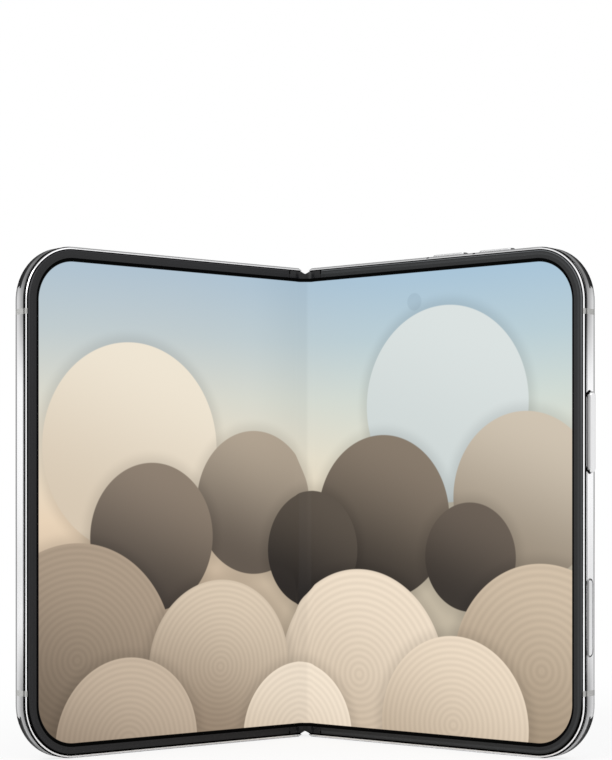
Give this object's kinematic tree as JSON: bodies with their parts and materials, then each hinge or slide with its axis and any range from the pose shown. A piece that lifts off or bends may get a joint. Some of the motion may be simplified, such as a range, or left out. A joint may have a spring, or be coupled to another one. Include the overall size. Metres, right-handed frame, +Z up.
{
  "type": "foldable smartphone",
  "caption": "Book-style folding smartphone with two leaves geared together on a spine, a flexible inner screen, a cover screen, and side keys that press.",
  "frame": {"origin": "middle of the footprint, on the floor that the phone stands on, under the middle of the hinge", "axes": "+Z up along the hinge, +X to the right as seen from the inner screen, +Y back towards the spine; the inner screen faces -Y"},
  "size_m": [0.1346, 0.0564, 0.1206],
  "materials": {
    "frame_metal": "polished, pale silver",
    "key_metal": "polished, pale silver",
    "antenna_polymer": "smooth, grey",
    "guard_polymer": "satin, dark grey",
    "rim_polymer": "satin, near black",
    "inner_screen": "glossy, lit, soft layered colours",
    "cover_glass": "glossy, black",
    "rear_glass": "satin, pale silver",
    "display_panel": "dark, unlit",
    "plate_alloy": "anodised, grey",
    "hinge_steel": "satin",
    "gear_steel": "hardened, satin",
    "spring_steel": "tempered",
    "screw_steel": "satin",
    "battery_pouch": "foil under dark film",
    "board_laminate": "lacquered",
    "shield_tin": "satin",
    "flex_film": "amber film",
    "camera_black": "black",
    "module_black": "black",
    "motor_steel": "satin",
    "lens_glass": "coated, dark",
    "flash_lens": "frosted",
    "copper_coil": "wound wire under film",
    "socket_steel": "satin"
  },
  "bodies": {
    "hinge_spine": {"spine_cover": "frame_metal", "spine_end_caps": "frame_metal", "hinge_base_upper": "hinge_steel", "hinge_base_middle": "hinge_steel", "hinge_base_lower": "hinge_steel", "fold_support_bar": "hinge_steel", "friction_clips": "spring_steel", "base_screws": "screw_steel", "fold_screen": "inner_screen", "fold_trims": "rim_polymer", "hinge_flex": "flex_film"},
    "left_leaf": {"left_frame": "frame_metal", "left_antenna_bands": "antenna_polymer", "left_corner_guards": "guard_polymer", "left_rim": "rim_polymer", "left_screen": "inner_screen", "left_midplate": "plate_alloy", "left_hinge_arms": "hinge_steel", "left_arm_screws": "screw_steel", "left_hinge_shafts": "gear_steel", "left_battery": "battery_pouch", "left_board": "board_laminate", "cover_screen": "display_panel", "cover_glass": "cover_glass", "cover_camera": "camera_black", "earpiece": "module_black", "vibration_motor": "motor_steel", "left_speaker": "module_black"},
    "right_leaf": {"right_frame": "frame_metal", "right_antenna_bands": "antenna_polymer", "right_corner_guards": "guard_polymer", "right_rim": "rim_polymer", "right_screen": "inner_screen", "right_midplate": "plate_alloy", "right_hinge_arms": "hinge_steel", "right_arm_screws": "screw_steel", "right_hinge_shafts": "gear_steel", "right_battery": "battery_pouch", "main_board": "board_laminate", "shield_cans": "shield_tin", "lower_board": "board_laminate", "rear_glass": "rear_glass", "camera_plateau": "frame_metal", "lens_rings": "frame_metal", "lens_glasses": "lens_glass", "camera_modules": "camera_black", "flash_window": "flash_lens", "inner_camera": "camera_black", "charging_coil": "copper_coil", "data_socket": "socket_steel", "socket_tongue": "module_black", "right_speaker": "module_black", "key_switches": "flex_film", "bottom_screws": "screw_steel"},
    "left_timing_gear": {"timing_gear_left": "gear_steel"},
    "right_timing_gear": {"timing_gear_right": "gear_steel"},
    "power_button": {"power_key": "key_metal"},
    "capture_button": {"capture_key": "key_metal"},
    "volume_up_button": {"volume_up_key": "key_metal"},
    "volume_down_button": {"volume_down_key": "key_metal"}
  },
  "joints": [
    {"name": "left_fold", "type": "hinge", "parent": "hinge_spine", "child": "left_leaf", "pos_m": [-0.00155, 0.02442, 0], "axis": [0, 0, 1], "range_deg": [-39.2, 50.8], "deforming": ["fold_screen", "fold_trims", "hinge_flex"]},
    {"name": "right_fold", "type": "hinge", "parent": "hinge_spine", "child": "right_leaf", "pos_m": [0.00155, 0.02442, 0], "axis": [0, 0, 1], "range_deg": [-50.8, 39.2]},
    {"name": "left_gear_spin", "type": "hinge", "parent": "hinge_spine", "child": "left_timing_gear", "pos_m": [-0.00085, 0.02557, 0], "axis": [0, 0, 1], "range_deg": [-30, 23.2]},
    {"name": "right_gear_spin", "type": "hinge", "parent": "hinge_spine", "child": "right_timing_gear", "pos_m": [0.00085, 0.02557, 0], "axis": [0, 0, 1], "range_deg": [-23.2, 30]},
    {"name": "power_press", "type": "slide", "parent": "right_leaf", "child": "power_button", "axis": [-0.7749, 0.632, 0], "range_m": [0, 0.00024], "stiffness_N_per_m": 1300, "springref_m": -0.001},
    {"name": "capture_press", "type": "slide", "parent": "right_leaf", "child": "capture_button", "axis": [-0.7749, 0.632, 0], "range_m": [0, 0.00024], "stiffness_N_per_m": 1300, "springref_m": -0.001},
    {"name": "volume_up_press", "type": "slide", "parent": "right_leaf", "child": "volume_up_button", "axis": [0, 0, -1], "range_m": [0, 0.00024], "stiffness_N_per_m": 1300, "springref_m": -0.001},
    {"name": "volume_down_press", "type": "slide", "parent": "right_leaf", "child": "volume_down_button", "axis": [0, 0, -1], "range_m": [0, 0.00024], "stiffness_N_per_m": 1300, "springref_m": -0.001}
  ],
  "couplings": [
    {"joint": "right_fold", "follows": "left_fold", "ratio": -1},
    {"joint": "left_gear_spin", "follows": "left_fold", "ratio": -0.58824},
    {"joint": "right_gear_spin", "follows": "left_fold", "ratio": 0.58824}
  ]
}
